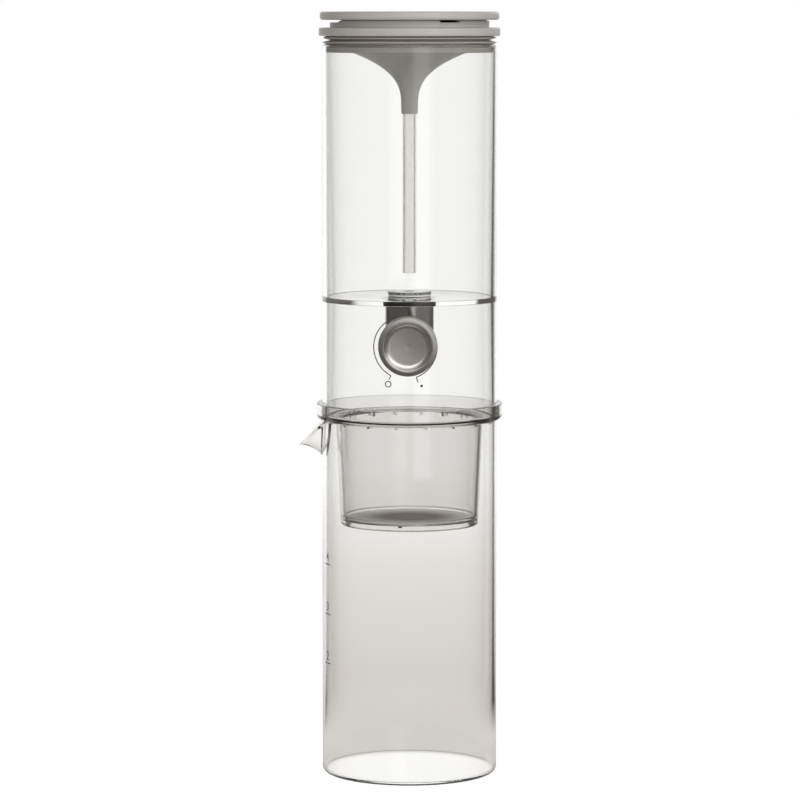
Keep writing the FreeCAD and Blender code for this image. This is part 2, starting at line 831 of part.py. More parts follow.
def make_lid_body():
    mouth = funnel_mouth_radius() + seated
    neck_bore = neck_radius - neck_wall
    ring_bore = lid_ring_radius - lid_ring_wall
    shell = lathe([
        (mouth, ceiling),
        (ring_bore, ceiling, moulded_round),
        (ring_bore, lid_bottom, moulded_round),
        (lid_ring_radius, lid_bottom, moulded_round),
        (lid_ring_radius, lid_ring_top, moulded_round),
        (seal_root_radius, lid_ring_top),
        (seal_root_radius, flange_under),
        (flange_radius, flange_under, lid_edge),
        (flange_radius, lid_flange_top, lid_edge),
        (neck_radius, lid_flange_top, moulded_round),
        (neck_radius, neck_top),
        (neck_bore, neck_top),
        (neck_bore, lid_floor),
        (mouth, lid_floor),
    ])
    body = shell
    for vent in vents(neck_top - vent_height, neck_top + past, neck_radius + past,
                      neck_bore - past):
        body = body.cut(vent)
    return body


def make_lid_cap():
    skirt_outer = neck_radius - neck_wall - slip
    skirt_inner = skirt_outer - cap_skirt_wall
    under = lid_top - cap_plate
    cap = lathe([
        (0, under),
        (skirt_inner, under),
        (skirt_inner, neck_top - cap_skirt_depth, moulded_round),
        (skirt_outer, neck_top - cap_skirt_depth, moulded_round),
        (skirt_outer, neck_top),
        (cap_radius, neck_top, lid_edge),
        (cap_radius, lid_top, lid_edge),
        (0, lid_top),
    ])
    for vent in vents(neck_top - cap_skirt_depth - past, neck_top, skirt_outer + slip,
                      skirt_inner - past):
        cap = cap.cut(vent)
    return cap


def make_lid_seal():
    """Ring with two lips. The lower lip rests on the tank's rim."""
    low, high = lid_ring_top, flange_under
    rest = rim + seal_rest_gap
    root = low + seal_lip_root
    slope = (rest - root) / (tank_rim_bore_radius - seal_core_radius)
    lip_under = root + slope * (seal_lip_radius - seal_core_radius)
    upper_radius = seal_lip_radius - seal_upper_inset
    upper_under = high - seal_upper_tip
    bore = seal_root_radius + seated
    return lathe([
        (bore, low),
        (seal_core_radius, low),
        (seal_core_radius, root),
        (seal_lip_radius, lip_under),
        (seal_lip_radius, lip_under + seal_lip_tip),
        (seal_core_radius, high - seal_valley),
        (upper_radius, upper_under),
        (upper_radius, upper_under + seal_lip_tip),
        (upper_radius - seal_upper_slope, high),
        (bore, high),
    ])


def make_air_tube():
    top = nose_bottom + tube_socket - end_gap
    low = floor_top + tube_floor_gap
    return lathe([
        (tube_bore_radius, low, tube_end_round),
        (tube_radius, low, tube_end_round),
        (tube_radius, top),
        (tube_bore_radius, top),
    ])


NODES = {
    "carafe": make_carafe,
    "dripper_cup": make_dripper_cup,
    "filter_mesh": make_filter_mesh,
    "filter_ring": make_filter_ring,
    "water_tank": make_water_tank,
    "inlet_fitting": make_inlet_fitting,
    "inlet_seal": make_inlet_seal,
    "valve_gasket": make_valve_gasket,
    "valve_body": make_valve_body,
    "drip_nozzle": make_drip_nozzle,
    "gland_nut": make_gland_nut,
    "spindle_bush": make_spindle_bush,
    "bush_gasket": make_bush_gasket,
    "bush_nut": make_bush_nut,
    "spindle": make_spindle,
    "spindle_o_rings": make_spindle_o_rings,
    "stop_collar": make_stop_collar,
    "knob_body": make_knob_body,
    "knob_face": make_knob_face,
    "grub_screw": make_grub_screw,
    "lid_body": make_lid_body,
    "funnel": make_funnel,
    "lid_cap": make_lid_cap,
    "lid_seal": make_lid_seal,
    "air_tube": make_air_tube,
}


def main():
    os.makedirs("parts", exist_ok=True)
    for name, make in NODES.items():
        shape = make()
        box = shape.BoundBox
        print(f"{name:16s} solids {len(shape.Solids)} valid {shape.isValid()} "
              f"volume {shape.Volume:9.1f}  x {box.XMin:7.2f} {box.XMax:7.2f} "
              f"y {box.YMin:7.2f} {box.YMax:7.2f} z {box.ZMin:7.2f} {box.ZMax:7.2f}")
        shape.exportStep(f"parts/{name}.step")


main()
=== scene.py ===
# Looks for a cold drip coffee maker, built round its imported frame.
# Lengths are in millimetres unless a note says metres, and angles are in degrees.
# A profile is a row of (radius, height) corners, and a third number rounds its corner.

import bmesh
import bpy
import math
from mathutils import Matrix, Vector


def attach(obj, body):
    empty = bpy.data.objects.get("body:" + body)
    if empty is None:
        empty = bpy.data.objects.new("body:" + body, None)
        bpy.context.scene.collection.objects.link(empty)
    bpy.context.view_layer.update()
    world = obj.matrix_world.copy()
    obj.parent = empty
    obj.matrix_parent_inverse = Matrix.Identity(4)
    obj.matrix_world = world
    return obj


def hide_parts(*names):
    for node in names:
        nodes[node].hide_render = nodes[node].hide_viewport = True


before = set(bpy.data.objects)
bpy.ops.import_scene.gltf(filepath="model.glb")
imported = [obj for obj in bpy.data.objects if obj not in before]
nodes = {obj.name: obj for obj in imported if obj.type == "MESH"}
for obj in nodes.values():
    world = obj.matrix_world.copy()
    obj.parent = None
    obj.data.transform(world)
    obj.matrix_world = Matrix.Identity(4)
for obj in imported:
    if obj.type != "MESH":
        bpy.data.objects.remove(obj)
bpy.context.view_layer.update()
mm = 0.001
print("frame loaded,", len(nodes), "nodes")


# materials

def linear(hexColour):
    # the sRGB curve undone
    channels = [int(hexColour[i:i + 2], 16) / 255 for i in (1, 3, 5)]
    return [c / 12.92 if c <= 0.04045 else ((c + 0.055) / 1.055) ** 2.4 for c in channels] + [1.0]


def addNode(tree, kind, settings=None, links=None):
    # a setting names a socket, by number or name, or else one of the node's own properties
    node = tree.nodes.new(kind)
    for name, value in (settings or {}).items():
        if isinstance(name, int) or name in node.inputs:
            node.inputs[name].default_value = value
        else:
            setattr(node, name, value)
    for name, socket in (links or {}).items():
        tree.links.new(socket, node.inputs[name])
    return node


def startMaterial(name, settings):
    material = bpy.data.materials.new(name)
    material.use_nodes = True
    shader = material.node_tree.nodes["Principled BSDF"]
    for socket, value in settings.items():
        shader.inputs[socket].default_value = value
    return material, material.node_tree, shader


def grain(tree, shader, size, depth, detail=2.0, stretch=(1, 1, 1)):
    # size and depth are how far apart the bumps are, and how high
    where = addNode(tree, "ShaderNodeTexCoord")
    stretched = addNode(tree, "ShaderNodeMapping", {"Scale": stretch},
                        {"Vector": where.outputs["Object"]})
    noise = addNode(tree, "ShaderNodeTexNoise", {"Scale": 1 / (size * mm), "Detail": detail},
                    {"Vector": stretched.outputs[0]})
    bump = addNode(tree, "ShaderNodeBump", {"Strength": 1.0, "Distance": depth * mm},
                   {"Height": noise.outputs[0]})
    tree.links.new(bump.outputs[0], shader.inputs["Normal"])


def lampsPass(tree, shader, tint):
    # a lamp shines through a clear wall, losing only what the wall keeps
    path = addNode(tree, "ShaderNodeLightPath")
    clear = addNode(tree, "ShaderNodeBsdfTransparent", {"Color": linear(tint)})
    mix = addNode(tree, "ShaderNodeMixShader", {}, {0: path.outputs["Is Shadow Ray"],
                                                    1: shader.outputs[0], 2: clear.outputs[0]})
    tree.links.new(mix.outputs[0], tree.nodes["Material Output"].inputs["Surface"])


# mouth-blown borosilicate: colourless, fire-polished, with long slow waves in its wall
borosilicate, tree, shader = startMaterial("blownBorosilicate", {
    "Base Color": linear("#FDFDFC"), "Roughness": 0.0, "IOR": 1.473, "Transmission Weight": 1.0})
grain(tree, shader, 34, 0.05, 0.0)
lampsPass(tree, shader, "#F2F2F1")

# injection-moulded copolyester: clear, a touch warmer and softer than glass
clearCopolyester, tree, shader = startMaterial("mouldedClearCopolyester", {
    "Base Color": linear("#FBFBFA"), "Roughness": 0.02, "IOR": 1.54, "Transmission Weight": 1.0})
grain(tree, shader, 26, 0.02, 0.0)
lampsPass(tree, shader, "#F0F0EE")

# the same resin with a little smoke pigment, which shows most where the wall is seen edge on
smokeCopolyester, tree, shader = startMaterial("mouldedSmokeCopolyester", {
    "Base Color": linear("#F7F6F5"), "Roughness": 0.03, "IOR": 1.54, "Transmission Weight": 1.0})
grain(tree, shader, 24, 0.02, 0.0)
lampsPass(tree, shader, "#E2E0DE")
pigment = addNode(tree, "ShaderNodeVolumeAbsorption", {
    "Color": linear("#8A8684"), "Density": 17})  # per metre of wall
tree.links.new(pigment.outputs[0], tree.nodes["Material Output"].inputs["Volume"])

# woven 304 wire, bright drawn, with painted shade that darkens it towards the middle of the sieve
wovenSteel, tree, shader = startMaterial("wovenSteelWire", {"Metallic": 1.0, "Roughness": 0.3})
grain(tree, shader, 0.4, 0.01)
# painted shade in the cup: the wire grows darker from the outer radius in to the inner one
sieveShade = {"inner": 10.85, "outer": 31, "shaded": "#928D88", "bright": "#FFFFFF"}
where = addNode(tree, "ShaderNodeTexCoord")
across = addNode(tree, "ShaderNodeVectorMath", {"operation": "MULTIPLY", 1: (1, 1, 0)},
                 {0: where.outputs["Object"]})
fromMiddle = addNode(tree, "ShaderNodeVectorMath", {"operation": "LENGTH"}, {0: across.outputs[0]})
shadeFade = addNode(tree, "ShaderNodeMapRange", {
    "interpolation_type": "SMOOTHSTEP", 1: sieveShade["inner"] * mm, 2: sieveShade["outer"] * mm},
    {0: fromMiddle.outputs["Value"]})
tint = addNode(tree, "ShaderNodeMix", {
    "data_type": "RGBA", 6: linear(sieveShade["shaded"]), 7: linear(sieveShade["bright"])},
    {0: shadeFade.outputs[0]})
tree.links.new(tint.outputs[2], shader.inputs["Base Color"])

# 304 bar turned on a lathe and polished: fine rings, dark and glossy
turnedSteel, tree, shader = startMaterial("turnedSteel", {
    "Base Color": linear("#A6A4A1"), "Metallic": 1.0, "Roughness": 0.16})
grain(tree, shader, 0.5, 0.004, 1.0, (0.05, 0.05, 1))

# satin-plated steel with a rolled knurl: soft and even, with a faint grit
knurledSteel, tree, shader = startMaterial("knurledSatinSteel", {
    "Base Color": linear("#B3B1AE"), "Metallic": 1.0, "Roughness": 0.32})
grain(tree, shader, 0.25, 0.006)

# spun and bead-blasted steel: a dull sparkle
spunSteel, tree, shader = startMaterial("spunSteel", {
    "Base Color": linear("#C9C5C1"), "Metallic": 1.0, "Roughness": 0.34})
grain(tree, shader, 0.55, 0.03, 3.0)

# injection-moulded polypropylene, grey, with a fine spark-eroded finish
greyPolypropylene, tree, shader = startMaterial("mouldedGreyPolypropylene", {
    "Base Color": linear("#A4A19E"), "Roughness": 0.42, "IOR": 1.49})
grain(tree, shader, 0.5, 0.012, 3.0)

# compression-moulded silicone, as grey as the lid and a little glossier
greySilicone, tree, shader = startMaterial("mouldedGreySilicone", {
    "Base Color": linear("#A49F9B"), "Roughness": 0.38, "IOR": 1.43})
grain(tree, shader, 0.8, 0.01)

# the same silicone with white pigment
whiteSilicone, tree, shader = startMaterial("mouldedWhiteSilicone", {
    "Base Color": linear("#F6F5F3"), "Roughness": 0.45, "IOR": 1.43})
grain(tree, shader, 0.7, 0.01)

# nitrile rubber, nearly black, with a dull bloom
darkRubber, tree, shader = startMaterial("darkNitrileRubber", {
    "Base Color": linear("#2B2A29"), "Roughness": 0.55, "IOR": 1.52})
grain(tree, shader, 0.6, 0.012)

# extruded polypropylene with no pigment: milky, with edges that light softens, so its IOR is low
milkyPolypropylene, tree, shader = startMaterial("extrudedMilkyPolypropylene", {
    "Base Color": linear("#FEFDFB"), "Roughness": 0.25, "IOR": 1.25, "Transmission Weight": 0.92,
    "Subsurface Weight": 0.5, "Subsurface Radius": (0.003, 0.003, 0.003)})
grain(tree, shader, 3, 0.02, stretch=(1, 1, 0.1))

# pad-printed ink, matt dark grey, a little uneven at its edge
printInk, tree, shader = startMaterial("greyPrintInk", {
    "Base Color": linear("#3F3C3A"), "Roughness": 0.6, "IOR": 1.45})
grain(tree, shader, 0.3, 0.01)
print("materials made")


# shaping

spindleHeight = 215.4  # of the knob's axis above the table
sharpAngle = 32  # an edge that turns further stays crisp
cornerSegments = 5  # in each rounded corner of a profile
tolerance = {"merge": 1e-7, "inkMerge": 1e-8, "level": 1e-5, "place": 1e-4}  # metres
toFront = Matrix.Rotation(math.radians(90), 4, "X")  # Z comes to point at the front


def lathe(profile, steps=240, closed=True):
    # a profile turned once round Z; a closed one comes back to its first corner
    bm = bmesh.new()
    corners = [bm.verts.new((point[0] * mm, 0, point[1] * mm)) for point in profile]
    for a, b in zip(corners, corners[1:] + corners[:1] * closed):
        if a.co.x > 0 or b.co.x > 0:  # none along the axis itself
            bm.edges.new((a, b))
    for corner, point in zip(corners, profile):
        if len(point) > 2:
            bmesh.ops.bevel(bm, geom=[corner], offset=point[2] * mm, offset_type="OFFSET",
                            affect="VERTICES", segments=cornerSegments, profile=0.5,
                            material=-1, clamp_overlap=False)
    bmesh.ops.spin(bm, geom=bm.verts[:] + bm.edges[:], cent=(0, 0, 0), axis=(0, 0, 1),
                   angle=2 * math.pi, steps=steps, use_merge=True, use_duplicate=False)
    bmesh.ops.remove_doubles(bm, verts=bm.verts, dist=tolerance["merge"])
    bmesh.ops.recalc_face_normals(bm, faces=bm.faces)
    return bm


def turnToFront(bm):
    # a piece turned round Z is laid on the knob's axis, its height running out to the front
    bmesh.ops.transform(bm, verts=bm.verts,
                        matrix=Matrix.Translation((0, 0, spindleHeight * mm)) @ toFront)


def addRod(bm, radius, length, place, segments):
    # a plain rod whose axis points to the front
    bmesh.ops.create_cone(bm, cap_ends=True, segments=segments, radius1=radius * mm,
                          radius2=radius * mm, depth=length * mm,
                          matrix=Matrix.Translation([c * mm for c in place]) @ toFront)


def bearing(point):
    # round Z from the front, positive to the right
    return math.degrees(math.atan2(point.x, -point.y))


def ringFaces(bm, level, inner, outer):
    # each face that lies flat at a level between two radii, with its bearing
    found = []
    for f in bm.faces:
        middle = f.calc_center_median()
        if (abs(middle.z - level * mm) < tolerance["level"]
                and inner * mm < middle.to_2d().length < outer * mm):
            found.append((f, bearing(middle)))
    return found


def extrudeFaces(bm, faces, height):
    made = bmesh.ops.extrude_face_region(bm, geom=faces)
    moved = [v for v in made["geom"] if isinstance(v, bmesh.types.BMVert)]
    bmesh.ops.translate(bm, vec=(0, 0, height * mm), verts=moved)
    bmesh.ops.delete(bm, geom=[f for f in faces if f.is_valid], context="FACES_ONLY")
    return moved


def join(bm, other):
    # other is used up
    mesh = bpy.data.meshes.new("joined")
    other.to_mesh(mesh)
    other.free()
    bm.from_mesh(mesh)
    bpy.data.meshes.remove(mesh)


def addObject(bm, name, material=None):
    mesh = bpy.data.meshes.new(name)
    bm.to_mesh(mesh)
    bm.free()
    if material:
        mesh.materials.append(material)
    piece = bpy.data.objects.new(name, mesh)
    bpy.context.scene.collection.objects.link(piece)
    return piece


def finishedMesh(thing):
    bpy.context.view_layer.update()
    return bpy.data.meshes.new_from_object(
        thing.evaluated_get(bpy.context.evaluated_depsgraph_get()))


def smooth(piece, sharp=sharpAngle):
    # large faces keep their own direction, so that a wall stays true up to its rounded edge
    piece.data.shade_smooth()
    piece.data.set_sharp_from_angle(angle=math.radians(sharp))
    weighted = piece.modifiers.new("weighted", "WEIGHTED_NORMAL")
    weighted.keep_sharp = True


def makePiece(bm, name, material, body, replaced=(), sharp=sharpAngle):
    piece = addObject(bm, name, material)
    smooth(piece, sharp)
    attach(piece, body)
    if replaced:
        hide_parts(*replaced)
    return piece


def combine(piece, tools, operation):
    # tools are bmeshes; each is used up
    piece.modifiers.clear()
    for tool in tools:
        other = addObject(tool, "tool")
        cut = piece.modifiers.new("cut", "BOOLEAN")
        cut.operation, cut.object, cut.solver = operation, other, "EXACT"
        result = finishedMesh(piece)
        piece.modifiers.remove(cut)
        piece.data = result
        bpy.data.objects.remove(other)
    smooth(piece)


# carafe: one skin from the base's centre up to the rim, pulled into a spout, then given its wall
carafe = {"radius": 43.0, "height": 175.6, "wall": 1.8, "heel": 2.8,
          "base": ((0, 0.9), (18.75, 0.72), (34.5, 0.15), (37.5, 0)), "rowsFrom": 154.0,
          "rows": 26, "rimRound": 0.8, "rimSegments": 4, "rimTurn": 65, "steps": 360, "sharp": 45}
spout = {"halfWidth": 12.0, "depth": 18.0, "reach": 12.2, "drop": 13.3, "plan": 1.9, "edge": 1.05,
         "outward": 0.8, "downward": 1.5}  # the last four are the powers of its curves


def pullSpout(bm):
    # the wall on the left is drawn out and down, most at the rim's middle and fading below it
    start = math.sqrt(carafe["radius"] ** 2 - spout["halfWidth"] ** 2)
    tip = carafe["radius"] + spout["reach"]
    for vertex in bm.verts:
        x, y, z = (c / mm for c in vertex.co)
        across = abs(y) / spout["halfWidth"]
        if x > 0 or across >= 1 or z < carafe["height"] - spout["depth"]:
            continue
        depth = spout["depth"] * (1 - across ** 2)
        up = (z - carafe["height"]) / depth + 1
        if up <= 0:
            continue
        share = 1 - across ** spout["plan"]
        rimOut = start + (tip - start) * share - math.sqrt(carafe["radius"] ** 2 - y ** 2)
        rimDown = spout["drop"] * share ** spout["edge"]
        vertex.co.x -= rimOut * up ** spout["outward"] * mm
        vertex.co.z -= rimDown * up ** spout["downward"] * mm


rise = carafe["height"] - carafe["rowsFrom"]
rows = [(carafe["radius"], carafe["rowsFrom"] + rise * i / carafe["rows"])
        for i in range(carafe["rows"] + 1)]
bm = lathe([*carafe["base"], (carafe["radius"], 0, carafe["heel"]), *rows],
           carafe["steps"], closed=False)
pullSpout(bm)
bmesh.ops.solidify(bm, geom=bm.faces, thickness=carafe["wall"] * mm)
# the crisp edges near the top are the rim's, inside and out
rimEdges = [e for e in bm.edges if len(e.link_faces) == 2
            and e.calc_face_angle() > math.radians(carafe["rimTurn"])
            and min(v.co.z for v in e.verts) > (carafe["height"] - spout["depth"]) * mm]
bmesh.ops.bevel(bm, geom=rimEdges, offset=carafe["rimRound"] * mm, offset_type="OFFSET",
                affect="EDGES", segments=carafe["rimSegments"], profile=0.5, material=-1,
                clamp_overlap=True)
makePiece(bm, "carafeGlass", borosilicate, "carafe", ["carafe"],
          carafe["sharp"])

# dripper cup: collar, flange and tapered cup in one moulding, with ribs that centre it
cup = {"collarOut": 45.7, "collarIn": 43.3, "collarTop": 183.8, "flangeTop": 177.9,
       "flangeUnder": 175.6, "heel": 2.4, "topRadius": 36.2, "footRadius": 34.0, "foot": 126.4,
       "wall": 1.8, "ledgeBore": 32.28, "ledgeIn": 30.68, "ledgeTop": 128.3, "ledgeUnder": 127.1,
       "socket": 32.2, "steps": 360}
ribs = {"count": 18, "phase": -8, "turn": 2, "out": 40.9, "drop": 1.4, "taper": 0.1}
bm = lathe([
    (cup["topRadius"], cup["flangeUnder"]),
    (ribs["out"], cup["flangeUnder"]),
    (cup["collarOut"], cup["flangeUnder"], cup["heel"]),
    (cup["collarOut"], cup["collarTop"], 0.5),
    (cup["collarIn"], cup["collarTop"], 0.3),
    (cup["collarIn"], cup["flangeTop"], 0.3),
    (cup["topRadius"] - cup["wall"], cup["flangeTop"], 0.8),
    (cup["ledgeBore"], cup["ledgeTop"], 0.3),
    (cup["ledgeIn"], cup["ledgeTop"], 0.2),
    (cup["ledgeIn"], cup["ledgeUnder"], 0.2),
    (cup["socket"], cup["ledgeUnder"]),
    (cup["socket"], cup["foot"]),
    (cup["footRadius"], cup["foot"], 0.2),
], cup["steps"])
# ribs grow down from narrow patches of the flange's underside
under = [f for f, turn in ringFaces(bm, cup["flangeUnder"], cup["topRadius"], ribs["out"])
         if (turn - ribs["phase"] + ribs["turn"] / 2) % (360 / ribs["count"]) < ribs["turn"]]
for v in extrudeFaces(bm, under, -ribs["drop"]):
    if v.co.to_2d().length < cup["topRadius"] * mm + tolerance["place"]:
        v.co.xy *= 1 - ribs["taper"] / cup["topRadius"]  # a rib's root follows the cup's taper
makePiece(bm, "dripperCup", smokeCopolyester, "dripper", ["dripper_cup"])

# filter: woven disc in a crimped rim, held up by a clip-in ring with four spokes; the real weave
# is finer than a picture of the whole can show, so its threads are drawn thicker and further apart
sieve = {"radius": 31.9, "rimIn": 30.2, "low": 126.8, "high": 127.1, "steps": 180, "pitch": 1.0,
         "wire": 0.13, "wave": 0.0715, "sides": 4, "stepsPerPitch": 2, "overrun": 0.6, "turn": 18,
         "sharp": 50}  # wire is a thread's radius, and wave is how far it swings up and down
clip = {"out": 34.0, "hole": 29.6, "low": 123.6, "foot": 126.4, "seat": 126.8, "lipIn": 30.5,
        "lipOut": 31.85, "fall": 0.6, "heel": 1.1, "spoke": 1.6, "spokeHigh": 1.5,
        "spokeIn": 0.4, "phase": -7.6}


def drawThreads(flip):
    # all the threads of one way, drawn out together over the whole disc and then cut to its circle
    pitch, count = sieve["pitch"], int(sieve["rimIn"] / sieve["pitch"])
    level = (sieve["low"] + sieve["high"]) / 2
    bends = [math.cos(math.pi * k / sieve["stepsPerPitch"]) * sieve["wave"]
             for k in range(2 * count * sieve["stepsPerPitch"] + 1)]
    threads = bmesh.new()
    for i in range(-count, count + 1):
        side = flip if i % 2 else -flip
        start = Matrix.Translation((-count * pitch * mm, i * pitch * mm,
                                    (level + side * bends[0]) * mm))
        bmesh.ops.create_circle(threads, segments=sieve["sides"], radius=sieve["wire"] * mm,
                                matrix=start @ Matrix.Rotation(math.radians(90), 4, "Y"))
    edges = threads.edges[:]
    for before, after in zip(bends, bends[1:]):
        grown = bmesh.ops.extrude_edge_only(threads, edges=edges)["geom"]
        ring = [g for g in grown if isinstance(g, bmesh.types.BMVert)]
        edges = [g for g in grown if isinstance(g, bmesh.types.BMEdge)]
        for odd in (True, False):  # neighbours swing opposite ways
            half = [v for v in ring if (round(v.co.y / mm / pitch) % 2 == 1) == odd]
            swing = (after - before) * (flip if odd else -flip)
            bmesh.ops.translate(threads, verts=half,
                                vec=(pitch / sieve["stepsPerPitch"] * mm, 0, swing * mm))
    edge = (sieve["rimIn"] + sieve["overrun"]) / pitch
    outer = [v for v in threads.verts
             if math.hypot(v.co.x / mm / pitch, round(v.co.y / mm / pitch)) > edge]
    bmesh.ops.delete(threads, geom=outer, context="VERTS")
    return threads


bm = lathe([(sieve["rimIn"], sieve["low"]), (sieve["radius"], sieve["low"]),
            (sieve["radius"], sieve["high"]), (sieve["rimIn"], sieve["high"])], sieve["steps"])
for flip in (1, -1):
    threads = drawThreads(flip)
    bmesh.ops.holes_fill(threads, edges=[e for e in threads.edges if e.is_boundary],
                         sides=sieve["sides"])
    bmesh.ops.recalc_face_normals(threads, faces=threads.faces)
    if flip < 0:
        bmesh.ops.rotate(threads, verts=threads.verts,
                         matrix=Matrix.Rotation(math.radians(90), 3, "Z"))
    join(bm, threads)
bmesh.ops.rotate(bm, verts=bm.verts, matrix=Matrix.Rotation(math.radians(sieve["turn"]), 3, "Z"))
makePiece(bm, "filterMesh", wovenSteel, "filter", ["filter_mesh"], sieve["sharp"])

bm = lathe([(clip["hole"], clip["low"], 0.4), (clip["out"], clip["low"], clip["heel"]),
            (clip["out"], clip["foot"]), (clip["lipOut"], clip["foot"]),
            (clip["lipOut"], clip["seat"]), (clip["lipIn"], clip["seat"]),
            (clip["hole"], clip["seat"] - clip["fall"])])
filterRing = makePiece(bm, "filterRing", smokeCopolyester, "filter", ["filter_ring"])
bars = []
for turn in (clip["phase"], clip["phase"] + 90):
    bar = bmesh.new()
    bmesh.ops.create_cube(bar, size=mm, matrix=Matrix.Rotation(math.radians(turn), 4, "Z")
                          @ Matrix.Translation((0, 0, (clip["seat"] - clip["spokeHigh"] / 2) * mm))
                          @ Matrix.Diagonal((clip["spoke"], 2 * (clip["hole"] + clip["spokeIn"]),
                                             clip["spokeHigh"], 1)))
    bars.append(bar)
combine(filterRing, bars, "UNION")
print("carafe and dripper made")

# tank: tube with a floor part of the way up; its wall has draft both ways from the floor, and the
# floor's hole grips the rubber collar of the gasket
tank = {"radius": 43.0, "foot": 177.9, "rim": 359.2, "footBore": 40.8, "lower": 205,
        "lowerBore": 40.51, "upper": 226, "upperBore": 40.28, "floorBore": 40.2, "rimBore": 41.2,
        "floorUnder": 233.95, "floorTop": 236.0, "fillet": 0.25, "hole": 8.38, "steps": 300}
bushHole = {"radius": 5.5, "out": 41.5, "length": 8, "segments": 64}
bm = lathe([
    (tank["hole"], tank["floorUnder"]),
    (tank["floorBore"], tank["floorUnder"], tank["fillet"]),
    (tank["upperBore"], tank["upper"]),
    (tank["lowerBore"], tank["lower"]),
    (tank["footBore"], tank["foot"], 0.5),
    (tank["radius"], tank["foot"], 0.5),
    (tank["radius"], tank["lower"]),
    (tank["radius"], tank["upper"]),
    (tank["radius"], tank["rim"], 0.8),
    (tank["rimBore"], tank["rim"], 0.8),
    (tank["floorBore"], tank["floorTop"], tank["fillet"]),
    (tank["hole"], tank["floorTop"]),
], tank["steps"])
waterTank = makePiece(bm, "waterTank", clearCopolyester, "tank", ["water_tank"])
drill = bmesh.new()
addRod(drill, bushHole["radius"], bushHole["length"], (0, -bushHole["out"], spindleHeight),
       bushHole["segments"])
combine(waterTank, [drill], "DIFFERENCE")

# drip valve under the floor
valve = {"radius": 11.95, "top": 232.9, "low": 205.5, "edge": 0.8, "steps": 128}
bm = lathe([(0, valve["low"]), (valve["radius"], valve["low"], valve["edge"]),
            (valve["radius"], valve["top"], 0.2), (0, valve["top"])], valve["steps"])
makePiece(bm, "valveBody", turnedSteel, "tank", ["valve_body"])

# knob: knurled body and a dished face pressed into its front
knob = {"radius": 14.3, "back": 45.6, "front": 54.4, "edge": 0.5, "bevelDrop": 0.3, "teeth": 120,
        "toothDepth": 0.32, "hub": 5.8, "skirt": 1.9, "hollow": 3.6, "faceSeat": 51.0,
        "faceRadius": 12.02, "web": 0.6, "shaft": 3.02, "sharp": 25}
bm = lathe([
    (0, knob["faceSeat"] - knob["web"]),
    (knob["shaft"], knob["faceSeat"] - knob["web"]),
    (knob["shaft"], knob["back"]),
    (knob["hub"], knob["back"], 0.2),
    (knob["hub"], knob["back"] + knob["hollow"], 0.3),
    (knob["radius"] - knob["skirt"], knob["back"] + knob["hollow"], 0.3),
    (knob["radius"] - knob["skirt"], knob["back"]),
    (knob["radius"] - knob["edge"], knob["back"]),
    (knob["radius"], knob["back"] + knob["edge"]),
    (knob["radius"], knob["front"] - knob["bevelDrop"] - knob["edge"]),
    (knob["radius"] - knob["edge"], knob["front"] - knob["bevelDrop"]),
    (knob["faceRadius"], knob["front"], 0.2),
    (knob["faceRadius"], knob["faceSeat"]),
    (0, knob["faceSeat"]),
], 2 * knob["teeth"])
for v in bm.verts:  # every other corner of the rim is drawn in
    turns = math.atan2(v.co.y, v.co.x) / math.pi * knob["teeth"]
    if v.co.to_2d().length > knob["radius"] * mm - tolerance["place"] and round(turns) % 2:
        v.co.xy *= 1 - knob["toothDepth"] / knob["radius"]
turnToFront(bm)
makePiece(bm, "knobBody", knurledSteel, "knob", ["knob_body"], knob["sharp"])

face = {"radius": 12.0, "seat": 51.0, "edge": 54.15, "dish": 2.3, "floor": 9.3, "rim": 0.5,
        "wall": 1.2, "wallRound": 1.6, "hollow": 0.4, "centre": 0.1,
        "rings": (0.85, 0.7, 0.55, 0.4, 0.25, 0.1), "steps": 180, "sharp": 40}
dishFloor = face["edge"] - face["dish"]
dished = [(face["floor"] * share, dishFloor - face["hollow"] * (1 - share ** 2))
          for share in face["rings"]]
bm = lathe([
    (0, face["seat"]),
    (face["radius"], face["seat"]),
    (face["radius"], face["edge"], 0.15),
    (face["radius"] - face["rim"], face["edge"], 0.2),
    (face["floor"] + face["wall"], dishFloor, face["wallRound"]),
    *dished,
    (0, dishFloor - face["hollow"] - face["centre"]),
], face["steps"])
turnToFront(bm)
makePiece(bm, "knobFace", spunSteel, "knob", ["knob_face"], face["sharp"])
print("tank, valve and knob made")

# lid: ring, flange and neck in one moulding, then the cap, the seal, the funnel and the air tube;
# a step round the neck's top makes the dark gap under the cap
lid = {"ring": 40.9, "ringWall": 1.7, "low": 355.2, "ringTop": 357.9, "sealRoot": 37.0,
       "flangeUnder": 363.2, "flangeTop": 367.3, "flange": 44.3, "neck": 38.9, "neckWall": 2.5,
       "neckTop": 371.0, "ceiling": 356.6, "floor": 358.6, "mouth": 32.59, "edge": 0.9, "vent": 1.2,
       "gapDeep": 1.2, "gapHigh": 0.45, "slot": (23, 39), "notch": (-119, -61), "steps": 360}


def closedFaces(bm, level, inner, outer):
    # faces of a flat ring, all but those over the air slot and the finger notch
    return [f for f, turn in ringFaces(bm, level, inner, outer)
            if not any(low < turn < high for low, high in (lid["slot"], lid["notch"]))]


